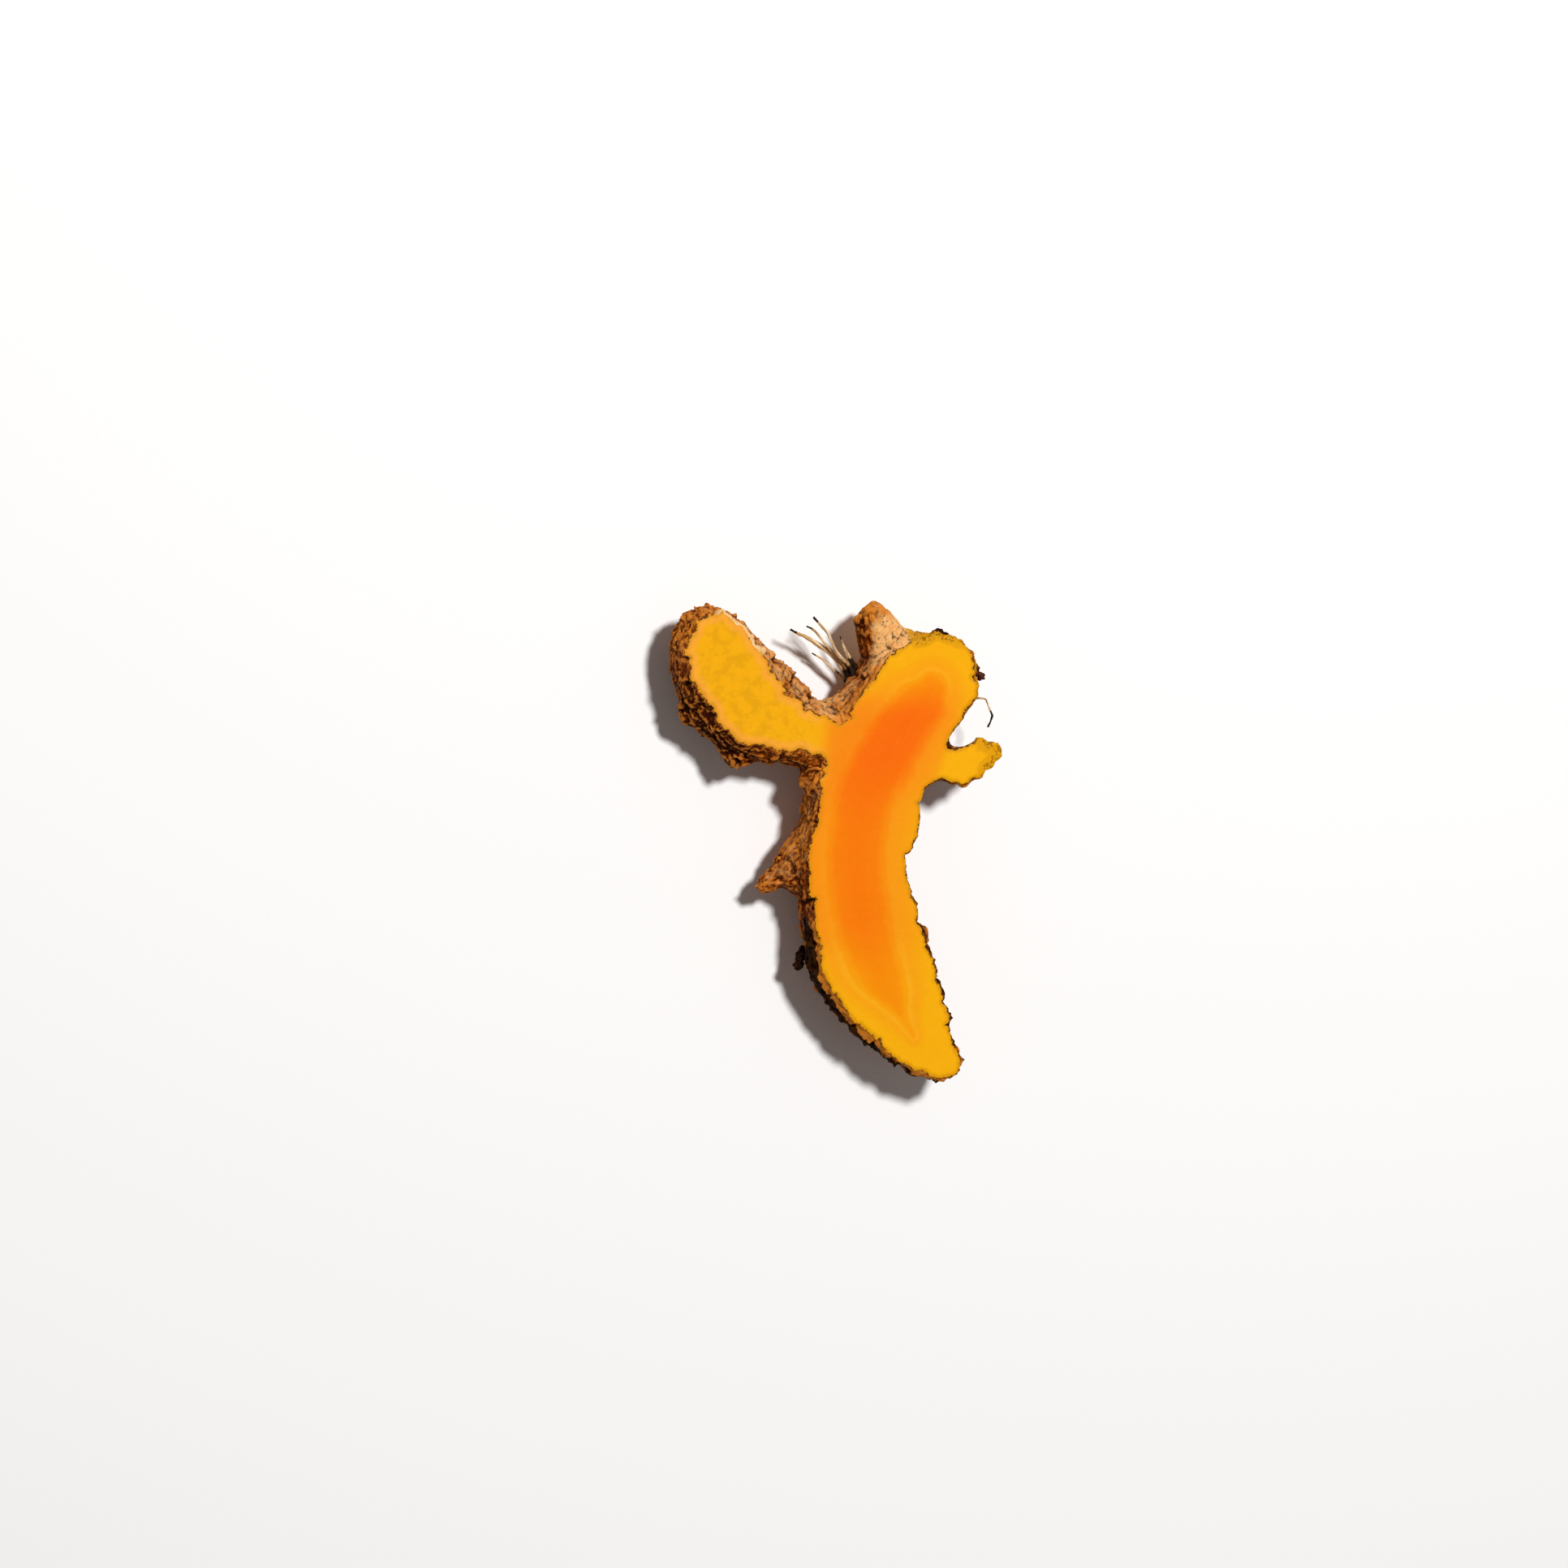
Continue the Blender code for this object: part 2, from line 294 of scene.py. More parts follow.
def wear(places, spots, shares):
    """Where the skin is crusted, rubbed bare, pale or dark, papery cream, and where it tucks
    in under the cut, each from 0 to about 1. The pale and the dark carry painted light and shade
    as well as the skin's own paler and darker patches, and below 0 they are dark. Each patch of
    skin has its bounds in millimetres, or towards the tail in shares of the length."""
    x, y, z = places.T
    depth = high.z / MM - z
    to_tail = (high.y / MM - y) / (size.y / MM)
    west = spots["body"][:, 1]
    body, finger, shoot, bud, spur = (shares[name] for name in LIMBS)
    finger_along, finger_left = spots["finger"][:, :2].T

    # The rims and the flanks of the body.
    tail = rise(to_tail, 0.60, 0.70) * rise(west, -2.0, 4.0)
    crust_end = depth + 2.4 * cloud(places / 4.5 + 11)
    tail_crust = tail * rise(depth, 1.0, 1.8) * rise(-crust_end, -6.0, -3.0)
    east_rim = hump(depth, 0.5, 0.7) * rise(to_tail, 0.36, 0.48) * rise(-west, 0.0, 3.0)
    left_rim = hump(depth, 0.0, 0.9) * between(y, -14.0, -8.0, 9.0, 14.0) * rise(west, 0.0, 3.0)
    notch_side = between(y, 11.0, 15.0, 28.0, 31.0) * rise(x, -5.0, 0.0) * rise(west, 1.0, 4.0)
    low_flank = rise(to_tail, 0.45, 0.6) * body * rise(west, -2.0, 2.0)
    # Painted highlights: lighter orange streaks along the middle of the left flank.
    mid_flank_highlight = between(to_tail, 0.3, 0.38, 0.5, 0.62) * rise(west, 1.0, 4.0)

    # The finger is pale on its right, with painted shade on its left. The bud has painted light on its
    # right side, painted shade on its left, and a brown tip.
    finger_right = rise(-finger_left, -1.0, 3.0) * finger
    finger_shade = rise(finger_left, 0.0, 4.0) * rise(finger_along, 5.0, 12.0) * finger
    finger_shade *= 0.35 + 0.65 * rise(-finger_along, -25.0, -19.0)
    finger_top = rise(-finger_along, -10.0, -4.0) * finger * rise(-depth, -7.0, -3.0)
    tip_rim = finger_right * rise(-finger_along, -12.0, -8.0) * rise(-depth, -1.1, -0.3)
    bud_lit_side = rise(y, 27.0, 31.0) * between(x, 4.0, 7.0, 12.0, 13.8)
    bud_shade = rise(y, 26.0, 30.0) * rise(-x, -6.3, -3.8) * bud
    bud_tip = rise(-spots["bud"][:, 0], -3.2, -1.2) * bud

    # Where the sides slope in under the cut: the body's right, the finger's tip, the shoot,
    # the top end's corner and its wall, and the gap above the shoot.
    corner = rise(y, 23.0, 27.0) * rise(x, 12.0, 15.0)
    wall = rise(y, 27.5, 30.5) * between(x, 9.0, 11.5, 16.0, 20.0)
    above_shoot = hump(np.hypot(x - 18.6, y - 16.2), 0, 3.5)
    tuck = rise(-west, 1.0, 5.0) * body * hump(depth, 4.5, 3.0) * rise(y, -37.0, -30.0)
    tuck += 1.3 * finger_right * hump(depth, 3.0, 2.6) * rise(-finger_along, -11.0, -7.0)
    tuck += 1.6 * shoot * rise(spots["shoot"][:, 1], -0.5, 1.5) * hump(depth, 2.6, 2.0)
    tuck += 1.7 * corner * hump(depth, 3.6, 2.2)
    tuck += 1.9 * wall * (1 - bud) * hump(depth, 6.0, 4.0)
    tuck += 1.6 * above_shoot * hump(depth, 2.6, 2.0)
    return {
        # The bud's shaded left side adds painted shade to the black crumbs here.
        "crust": np.maximum.reduce([tail_crust, 0.75 * east_rim, 0.2 * bud_shade, 0.45 * left_rim]),
        "bare": np.maximum.reduce([
            0.9 * tail * rise(-depth, -2.6, -1.7),
            0.45 * hump(depth, 0.0, 0.8),
            0.75 * notch_side * hump(depth, 0.0, 3.0),
            0.6 * bud_tip,
            0.5 * finger_top,
            0.45 * mid_flank_highlight,
        ]),
        # Mixes the skin's own pale and dark patches with painted light on the bud's right side, painted
        # shade on the bud's left and the finger's left, and painted highlight on the middle of the left
        # flank. It is also darker more than 3 mm below the cut.
        "tone": 1.15 * bud_lit_side + 0.4 * notch_side + 0.4 * finger_right + 0.2 * spur + 0.08 * mid_flank_highlight
        - 0.75 * bud_shade - 0.6 * bud_tip - 0.15 * low_flank - 1.0 * finger_shade
        - 0.2 * rise(depth, 3.0, 6.0) + 0.45 * cloud(places / 1.6 + 3),
        "cream": tip_rim,
        "tuck": tuck,
    }


# What the whole skin adds, in millimetres: crumbling crust, the tuck under the cut, and
# unevenness, as height and width.
CRUMBLE = 0.95
TUCK = 0.75
UNEVEN = ((0.3, 7), (0.24, 1.5), (0.12, 0.6))

# A limb that has less say than this in a place's skin is passed over, and a lump that is
# taller than this has a crease around it.
LEAST_SHARE = 0.02
CREASED_LUMP = 0.3


def skin_relief(places):
    """How far the skin stands out at places, in millimetres, how close they are to a leaf
    scar, how worn they are, and where they lie beside each limb."""
    spots, shares = beside_limbs(places)
    out = np.zeros(len(places))
    scar = np.zeros(len(places))
    for name, share in shares.items():
        near = share > LEAST_SHARE
        push, mark = limb_skin(name, spots[name][near])
        out[near] += share[near] * push
        scar[near] += share[near] * mark
    for *place, radius, height in LUMPS:
        apart = np.linalg.norm(places - np.array(in_box(*place)) / MM, axis=1)
        out += height * hump(apart, 0, radius)
        scar += 0.5 * hump(apart, 1.5 * radius, 0.25) * (height > CREASED_LUMP)
    worn = wear(places, spots, shares)
    crumble = veins(places / 1.7 + 7)
    out += CRUMBLE * worn["crust"] * (crumble - 0.3) - TUCK * worn["tuck"]
    out += sum(height * cloud(places / width) for height, width in UNEVEN)
    return out, scar, worn, spots, shares


# ---------------------------------------------------------------------------------------
# The rhizome's shape: the plain solid is grown a little past the cut, covered with its
# real skin relief, and then sliced flat by one stroke of a knife, so that the rim of the
# cut face follows every fold of the skin.
# ---------------------------------------------------------------------------------------

# In millimetres: the fineness of the skin and of the cut face, how far the solid is grown
# past the cut, and how far the knife reaches past the rhizome, to its sides and below.
SKIN_CELL = 0.29
FLESH_CELL = 0.36
PAST_CUT = 2.0
KNIFE_MARGIN = 6.0
KNIFE_BELOW = 5.0

# The gap between the shoot and the body runs deeper, to a sharp point: where it is, how far
# around it the skin is drawn in, and which way.
GAP = (0.832, 0.708, 0.97)
GAP_REACH = 2.1
GAP_PULL = (-1.15, -1.85, 0)


def select_only(piece):
    """Selects one piece and nothing else."""
    bpy.ops.object.select_all(action="DESELECT")
    piece.select_set(True)
    bpy.context.view_layer.objects.active = piece


def own_copy(node_name, name):
    """A copy of a frame piece's mesh as a piece of its own, with its corners merged."""
    piece = bpy.data.objects.new(name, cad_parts[node_name].data.copy())
    bpy.context.scene.collection.objects.link(piece)
    piece.data.materials.clear()
    select_only(piece)
    bpy.ops.object.mode_set(mode="EDIT")
    bpy.ops.mesh.select_all(action="SELECT")
    bpy.ops.mesh.remove_doubles(threshold=1e-6)
    bpy.ops.mesh.select_all(action="DESELECT")
    bpy.ops.object.mode_set(mode="OBJECT")
    return piece


def corners(mesh):
    """A mesh's vertex places as rows, in millimetres."""
    flat = np.empty(len(mesh.vertices) * 3)
    mesh.vertices.foreach_get("co", flat)
    return flat.reshape(-1, 3) / MM


def facing(mesh):
    """The way that a mesh faces at each vertex, as rows."""
    flat = np.empty(len(mesh.vertices) * 3)
    mesh.vertex_normals.foreach_get("vector", flat)
    return flat.reshape(-1, 3)


def move_corners(mesh, places):
    """Puts a mesh's vertices at these places, in millimetres."""
    mesh.vertices.foreach_set("co", (places * MM).ravel())
    mesh.update()


def apply(piece, kind, **settings):
    """Adds a modifier of one kind to a piece and applies it."""
    select_only(piece)
    modifier = piece.modifiers.new(kind, kind)
    for key, value in settings.items():
        setattr(modifier, key, value)
    bpy.ops.object.modifier_apply(modifier=modifier.name)


rhizome = own_copy("rhizome_half", "halved_rhizome")
for face in rhizome.data.polygons:
    face.select = face.normal.z > 0.99 and face.center.z > high.z - 0.01 * MM
bpy.ops.object.mode_set(mode="EDIT")
bpy.ops.mesh.select_mode(type="FACE")
bpy.ops.mesh.extrude_region_move(TRANSFORM_OT_translate={"value": (0, 0, PAST_CUT * MM)})
bpy.ops.object.mode_set(mode="OBJECT")
apply(rhizome, "REMESH", mode="VOXEL", voxel_size=SKIN_CELL * MM)
plain = corners(rhizome.data)
relief = skin_relief(plain)[0]
from_gap = np.linalg.norm(plain - np.array(in_box(*GAP)) / MM, axis=1)
deeper = hump(from_gap, 0, GAP_REACH)[:, None] * GAP_PULL
move_corners(rhizome.data, plain + facing(rhizome.data) * relief[:, None] + deeper)

bpy.ops.mesh.primitive_grid_add(
    x_subdivisions=round((size.x / MM + KNIFE_MARGIN) / FLESH_CELL),
    y_subdivisions=round((size.y / MM + KNIFE_MARGIN) / FLESH_CELL),
    size=1,
    location=((low.x + high.x) / 2, (low.y + high.y) / 2, high.z),
)
knife = bpy.context.object
knife.scale = (size.x + KNIFE_MARGIN * MM, size.y + KNIFE_MARGIN * MM, 1)
bpy.ops.object.transform_apply(location=True, rotation=True, scale=True)
bpy.ops.object.mode_set(mode="EDIT")
bpy.ops.mesh.select_all(action="SELECT")
bpy.ops.mesh.extrude_region_move(
    TRANSFORM_OT_translate={"value": (0, 0, -size.z - KNIFE_BELOW * MM)}
)
bpy.ops.mesh.select_all(action="SELECT")
bpy.ops.mesh.normals_make_consistent(inside=False)
bpy.ops.object.mode_set(mode="OBJECT")


# ---------------------------------------------------------------------------------------
# Turmeric flesh, freshly cut: a deep orange heart, the stele, runs down the middle of the
# body in a paler orange cortex, and the young limbs are golden yellow. The knife leaves it
# smooth and moist, bruised ochre at the thinnest edges.
# ---------------------------------------------------------------------------------------

# The heart's middle line: shares of the rhizome's box, and half its width.
HEART = [
    (0.776, 0.818, 1.0, 2.5),
    (0.752, 0.797, 1.0, 3.6),
    (0.683, 0.741, 1.0, 4.2),
    (0.624, 0.674, 1.0, 4.5),
    (0.570, 0.607, 1.0, 4.4),
    (0.552, 0.539, 1.0, 4.4),
    (0.540, 0.472, 1.0, 4.5),
    (0.549, 0.405, 1.0, 4.4),
    (0.566, 0.338, 1.0, 4.3),
    (0.592, 0.271, 1.0, 4.0),
    (0.630, 0.208, 1.0, 3.4),
    (0.670, 0.160, 1.0, 2.9),
    (0.700, 0.127, 1.0, 2.2),
    (0.725, 0.098, 1.0, 1.4),
]


def linear(hex_colour):
    """An sRGB hex colour as linear red, green, blue and alpha."""
    shades = [int(hex_colour[i : i + 2], 16) / 255 for i in (1, 3, 5)]
    return [c / 12.92 if c <= 0.04045 else ((c + 0.055) / 1.055) ** 2.4 for c in shades] + [1.0]


def node(tree, kind, output=0, **settings):
    """Adds a node to a material and gives one of its outputs. A setting named after an
    input feeds it, from another node or with a fixed value, and the others set the node
    up. Colours are in hex, and a ramp's stops are pairs of position and colour."""
    made = tree.nodes.new(kind)
    for key, value in settings.items():
        inputs = {socket.identifier.replace(" ", "_"): socket for socket in made.inputs}
        if key == "stops":
            band = made.color_ramp.elements
            while len(band) < len(value):
                band.new(0.5)
            for stop, (position, colour) in zip(band, value):
                stop.position = position
                stop.color = linear(colour)
        elif key not in inputs:
            setattr(made, key, value)
        elif isinstance(value, bpy.types.NodeSocket):
            tree.links.new(value, inputs[key])
        else:
            inputs[key].default_value = linear(value) if isinstance(value, str) else value
    return made.outputs[output]


def lay_coats(tree, colour, coats):
    """Lays coats of colour over a ground. Each has a pattern, the values that it comes in
    between, how much it covers, and its colour."""
    for pattern, start, end, cover, shade in coats:
        share = node(
            tree,
            "ShaderNodeMapRange",
            interpolation_type="SMOOTHSTEP",
            Value=pattern,
            From_Min=start,
            From_Max=end,
            To_Max=cover,
        )
        colour = node(
            tree, "ShaderNodeMix", 2, data_type="RGBA", Factor_Float=share, A_Color=colour, B_Color=shade
        )
    return colour


def new_material(name):
    """A new material with its node tree, its shader, and places on the piece in
    millimetres."""
    made = bpy.data.materials.new(name)
    made.use_nodes = True
    tree = made.node_tree
    on_piece = node(tree, "ShaderNodeTexCoord", "Object")
    places = node(tree, "ShaderNodeVectorMath", operation="SCALE", Vector=on_piece, Scale=1 / MM)
    return made, tree, tree.nodes["Principled BSDF"], places


# Fresh turmeric flesh, knife-cut: near-uniform saturated orange that lets light in a
# little way, with a moist sheen too broad to show a highlight. Blotches are 0.4 to 2 mm.
flesh, tree, shader, places = new_material("turmeric flesh, knife-cut")
heart, ripe, west, finger_flesh, edge, pale_edge, bruise, cream = (
    node(tree, "ShaderNodeAttribute", "Fac", attribute_name=name)
    for name in ("heart", "ripe", "west", "finger_flesh", "rim", "pale_edge", "bruise", "cream")
)
blur, speckle, blotch, tear, cells = (
    node(tree, "ShaderNodeTexNoise", Vector=places, Scale=scale, Detail=detail, Roughness=roughness)
    for scale, detail, roughness in (
        (0.5, 5, 0.65),
        (1.4, 6, 0.7),
        (1.1, 6, 0.75),
        (0.9, 7, 0.8),
        (2.6, 3, 0.6),
    )
)
grain = node(tree, "ShaderNodeAttribute", "Vector", attribute_name="grain")
along_grain = node(tree, "ShaderNodeMapping", Vector=grain, Scale=(0.14, 1.7, 1.7))
thread = node(tree, "ShaderNodeTexNoise", Vector=along_grain, Scale=1.0, Detail=4, Roughness=0.65)
from_heart = node(
    tree, "ShaderNodeMath", operation="MULTIPLY_ADD", Value=blur, Value_001=0.15, Value_002=heart
)
upper = node(
    tree,
    "ShaderNodeValToRGB",
    Fac=from_heart,
    stops=[
        (0.075, "#F26807"),
        (0.335, "#F26C07"),
        (0.435, "#F27C0A"),
        (0.535, "#F28E12"),
        (0.775, "#F0980F"),
        (1.0, "#F2A60C"),
    ],
)
lower = node(
    tree,
    "ShaderNodeValToRGB",
    Fac=from_heart,
    stops=[
        (0.075, "#F28804"),
        (0.315, "#F29004"),
        (0.385, "#F29C08"),
        (0.445, "#F29E0A"),
        (0.475, "#F4A81A"),
        (0.595, "#F2A00E"),
        (0.875, "#F2AC0A"),
    ],
)
colour = node(
    tree, "ShaderNodeMix", 2, data_type="RGBA", Factor_Float=ripe, A_Color=upper, B_Color=lower
)
finger_thread, finger_fleck, bruise_fleck = (
    node(tree, "ShaderNodeMath", operation="MULTIPLY", Value=mask, Value_001=pattern)
    for mask, pattern in ((finger_flesh, thread), (finger_flesh, blur), (bruise, cells))
)
rim_bruise, hair_line = (
    node(
        tree, "ShaderNodeMath", operation="MULTIPLY_ADD", Value=pattern, Value_001=-reach, Value_002=edge
    )
    for pattern, reach in ((blotch, 1.1), (tear, 2.2))
)
colour = lay_coats(
    tree,
    colour,
    [
        (west, 0, 1, 0.6, "#F07E12"),
        (speckle, 0.5, 0.75, 0.2, "#E09206"),
        (speckle, 0.42, 0.25, 0.22, "#F8AC30"),
        (thread, 0.55, 0.8, 0.14, "#F8A030"),
        (finger_thread, 0.5, 0.7, 0.25, "#DC9C0E"),
        (finger_flesh, 0, 1, 0.15, "#E0A010"),
        (finger_fleck, 0.46, 0.6, 0.4, "#CE900A"),
        (pale_edge, 0, 1, 0.65, "#F6A040"),
        (rim_bruise, 0.3, -0.3, 0.6, "#CC8A0C"),
        (hair_line, -0.92, -1.04, 0.92, "#4A2408"),
        (bruise, 0.1, 0.6, 0.8, "#DA980A"),
        (bruise_fleck, 0.48, 0.58, 0.75, "#7A5008"),
        (cream, 0.3, 0.8, 0.85, "#F6CE94"),
    ],
)
tree.links.new(colour, shader.inputs["Base Color"])
shader.inputs["Roughness"].default_value = 0.5
shader.inputs["IOR"].default_value = 1.38
shader.inputs["Specular IOR Level"].default_value = 0.06
shader.inputs["Subsurface Weight"].default_value = 0.12
shader.inputs["Subsurface Radius"].default_value = (1.0, 0.45, 0.08)
shader.inputs["Subsurface Scale"].default_value = 0.9 * MM
dents = node(tree, "ShaderNodeBump", Height=cells, Strength=0.25, Distance=0.05 * MM)
tree.links.new(dents, shader.inputs["Normal"])


# ---------------------------------------------------------------------------------------
# Turmeric skin, air-dried: a thin cork that dries to rust-brown fibres between the leaf
# scars, nearly black in the scars, and orange where it is rubbed bare, with painted shade
# in its cracks and folds and painted highlights on its crests.
# ---------------------------------------------------------------------------------------

# Air-dried cork: saturated browns in long fibres 0.2 to 0.7 mm wide, with crumbs of cork
# 0.4 mm across, some painted pale as glints. It is dull all over, and a little smoother on the pale
# crests.
skin, tree, shader, places = new_material("turmeric skin, air-dried cork")
grain = node(tree, "ShaderNodeAttribute", "Vector", attribute_name="grain")
hollow, deep, scar, bare, crust, tone, bruise, cream = (
    node(tree, "ShaderNodeAttribute", "Fac", attribute_name=name)
    for name in ("hollow", "deep", "scar", "bare", "crust", "tone", "bruise", "cream")
)
streaks, strands, patches, lumps, crumbs = (
    node(
        tree,
        "ShaderNodeTexNoise",
        Vector=node(tree, "ShaderNodeMapping", Vector=source, Scale=stretch),
        Scale=1.0,
        Detail=detail,
        Roughness=roughness,
    )
    for source, stretch, detail, roughness in (
        (grain, (0.26, 1.4, 1.4), 7, 0.7),
        (grain, (0.9, 4.0, 4.0), 4, 0.6),
        (places, (0.22, 0.22, 0.22), 4, 0.6),
        (places, (0.85, 0.85, 0.85), 6, 0.7),
        (places, (2.4, 2.4, 2.4), 5, 0.7),
    )
)
torn_scar, torn_bare, torn_bruise, torn_fleck, torn_crust_and_shade = (
    node(tree, "ShaderNodeMath", operation="MULTIPLY_ADD", Value=pattern, Value_001=1.5, Value_002=mask)
    for mask, pattern in (
        (scar, crumbs),
        (bare, streaks),
        (bruise, crumbs),
        (bruise, lumps),
        (crust, crumbs),
    )
)
pale_lumps, pale_crumbs = (
    node(tree, "ShaderNodeMath", operation="MULTIPLY_ADD", Value=tone, Value_001=0.09, Value_002=pattern)
    for pattern in (lumps, crumbs)
)
colour = node(
    tree,
    "ShaderNodeValToRGB",
    Fac=streaks,
    stops=[
        (0.26, "#1C0200"),
        (0.38, "#521200"),
        (0.5, "#8E3A02"),
        (0.6, "#BC6410"),
        (0.74, "#EAA046"),
    ],
)
colour = lay_coats(
    tree,
    colour,
    [
        (patches, 0.48, 0.64, 0.5, "#6E2000"),
        (patches, 0.44, 0.3, 0.5, "#B0560A"),
        (strands, 0.52, 0.72, 0.4, "#DE842A"),
        (strands, 0.46, 0.3, 0.4, "#2E0800"),
        (lumps, 0.56, 0.68, 0.6, "#E8943C"),
        # Pale is painted light on the bud's lit side as well as the skin's own paler patches. Dark is
        # painted shade on the bud's and the finger's left sides as well as darker patches.
        (tone, 0, 1, 0.9, "#FCC07A"),
        (tone, 0, -1, 0.78, "#380A00"),
        (pale_lumps, 0.5, 0.38, 0.6, "#2C0700"),
        (pale_crumbs, 0.44, 0.3, 0.65, "#200500"),
        # Painted glints: pale specks on the crumbs.
        (pale_crumbs, 0.59, 0.7, 0.65, "#FCC680"),
        # Painted highlights on the crests between cracks, and painted shade in the cracks and the deep
        # folds.
        (hollow, -0.3, -1.3, 0.5, "#EC9038"),
        (hollow, 0.2, 1.5, 0.6, "#300A00"),
        (deep, 0.3, 1.6, 0.55, "#1E0500"),
        (torn_scar, 1.1, 1.6, 0.85, "#1C0800"),
        # Orange where rubbed bare, and painted highlights in streaks along the middle of the left flank.
        (torn_bare, 1.1, 1.45, 0.85, "#E88C2C"),
        (torn_bruise, 0.9, 1.2, 0.9, "#D8960C"),
        (torn_fleck, 1.7, 1.9, 0.8, "#6E4406"),
        (cream, 0.3, 0.8, 0.85, "#F6CE94"),
        # Black crumbs where the skin is crusted, and painted shade in specks on the bud's left side.
        (torn_crust_and_shade, 1.1, 1.35, 0.95, "#120300"),
    ],
)
tree.links.new(colour, shader.inputs["Base Color"])
dullness = node(
    tree, "ShaderNodeMapRange", Value=streaks, From_Min=0.3, From_Max=0.7, To_Min=0.85, To_Max=0.45
)
tree.links.new(dullness, shader.inputs["Roughness"])
shader.inputs["Specular IOR Level"].default_value = 0.03
height = node(
    tree, "ShaderNodeMath", operation="MULTIPLY_ADD", Value=strands, Value_001=0.5, Value_002=streaks
)
height = node(
    tree, "ShaderNodeMath", operation="MULTIPLY_ADD", Value=crumbs, Value_001=0.5, Value_002=height
)
bark = node(tree, "ShaderNodeBump", Height=height, Strength=0.9, Distance=0.32 * MM)
tree.links.new(bark, shader.inputs["Normal"])

rhizome.data.materials.append(skin)
knife.data.materials.append(flesh)
apply(rhizome, "BOOLEAN", operation="INTERSECT", solver="EXACT", material_mode="TRANSFER", object=knife)
bpy.data.objects.remove(knife)


def neighbour_mean(mesh, values, rounds):
    """Rows of values at the vertices, each round replaced by the mean of its neighbours."""
    pairs = np.empty(len(mesh.edges) * 2, dtype=np.int32)
    mesh.edges.foreach_get("vertices", pairs)
    one, other = pairs.reshape(-1, 2).T
    count = np.bincount(pairs, minlength=len(values))[:, None]
    for _ in range(rounds):
        total = np.zeros_like(values)
        for column in range(values.shape[1]):
            total[:, column] += np.bincount(one, values[other, column], len(values))
            total[:, column] += np.bincount(other, values[one, column], len(values))
        values = total / count
    return values


def store(mesh, name, values):
    """Keeps one number, or one row of three, for each vertex."""
    kind, field = ("FLOAT_VECTOR", "vector") if values.ndim == 2 else ("FLOAT", "value")
    made = mesh.attributes.new(name, kind, "POINT")
    made.data.foreach_set(field, values.astype(np.float32).ravel())


def vertices_of(mesh, material_index):
    """Marks the vertices of the faces with this material."""
    marked = np.zeros(len(mesh.vertices), dtype=bool)
    for face in mesh.polygons:
        if face.material_index == material_index:
            marked[list(face.vertices)] = True
    return marked


# The cut dries at its edge, and draws in: how deep and how far in, in millimetres. The rest
# of it waves a little, by these heights over these widths.
EDGE_SINK = 0.1
EDGE_WIDTH = 0.35
CUT_WAVES = ((0.05, 5), (0.02, 1.2))

# How the skin's hollows are measured: rounds of neighbours, and the depth in millimetres
# that counts as 1. The small ones are cracks, and the large ones are folds. The skin's colour
# paints shade into both, and highlights onto the crests between the cracks.
CRACKS = (3, 0.05)
DEEP_FOLDS = (24, 0.2)

# Where the shoot leaves the body, in millimetres, and the way that it grows.
SHOOT_FOOT = (16.5, 12.7)
SHOOT_WAY = (0.93, -0.365)

# How far apart the limbs' grain is set, so that no two are alike, how many of its half
# widths the heart's colours run over, and how sharp an edge stays sharp.
GRAIN_APART = 40.0
HEART_REACH = 3
SHARP_EDGE = math.radians(50)

mesh = rhizome.data
flesh_slot = mesh.materials.find(flesh.name)
on_flesh = vertices_of(mesh, flesh_slot)
on_rim = on_flesh & vertices_of(mesh, 1 - flesh_slot)
now = corners(mesh)
rim_tree = kdtree.KDTree(int(on_rim.sum()))
for index, place in enumerate(now[on_rim]):
    rim_tree.insert(place, index)
rim_tree.balance()
from_rim = np.zeros(len(now))
from_rim[on_flesh] = [rim_tree.find(place)[2] for place in now[on_flesh]]

now[on_flesh, 2] -= EDGE_SINK * hump(from_rim[on_flesh], 0, EDGE_WIDTH)
now[on_flesh, 2] += sum(height * cloud(now[on_flesh] / width) for height, width in CUT_WAVES)
move_corners(mesh, now)

_, scar, worn, spots, shares = skin_relief(now)
chosen = np.array([shares[name] for name in LIMBS]).argmax(0)
grain = np.zeros_like(now)
for index, name in enumerate(LIMBS):
    mine = chosen == index
    grain[mine] = spots[name][mine, :3] + (GRAIN_APART * index, 0, 0)
normals = facing(mesh)
hollow, deep = (
    ((neighbour_mean(mesh, now, rounds) - now) * normals).sum(1) / whole
    for rounds, whole in (CRACKS, DEEP_FOLDS)
)

x, y, z = now.T
depth = high.z / MM - z
to_tail = (high.y / MM - y) / (size.y / MM)

# How far out from the heart the flesh is, in the heart's half widths.
heart_line = growth_line(HEART)
heart_spots = follow(heart_line, now)
half_width = np.interp(heart_spots[:, 0], heart_line[2], heart_line[1])
heart = (heart_spots[:, 3] + half_width) / half_width + 0.8 * rise(to_tail, 0.78, 0.88)

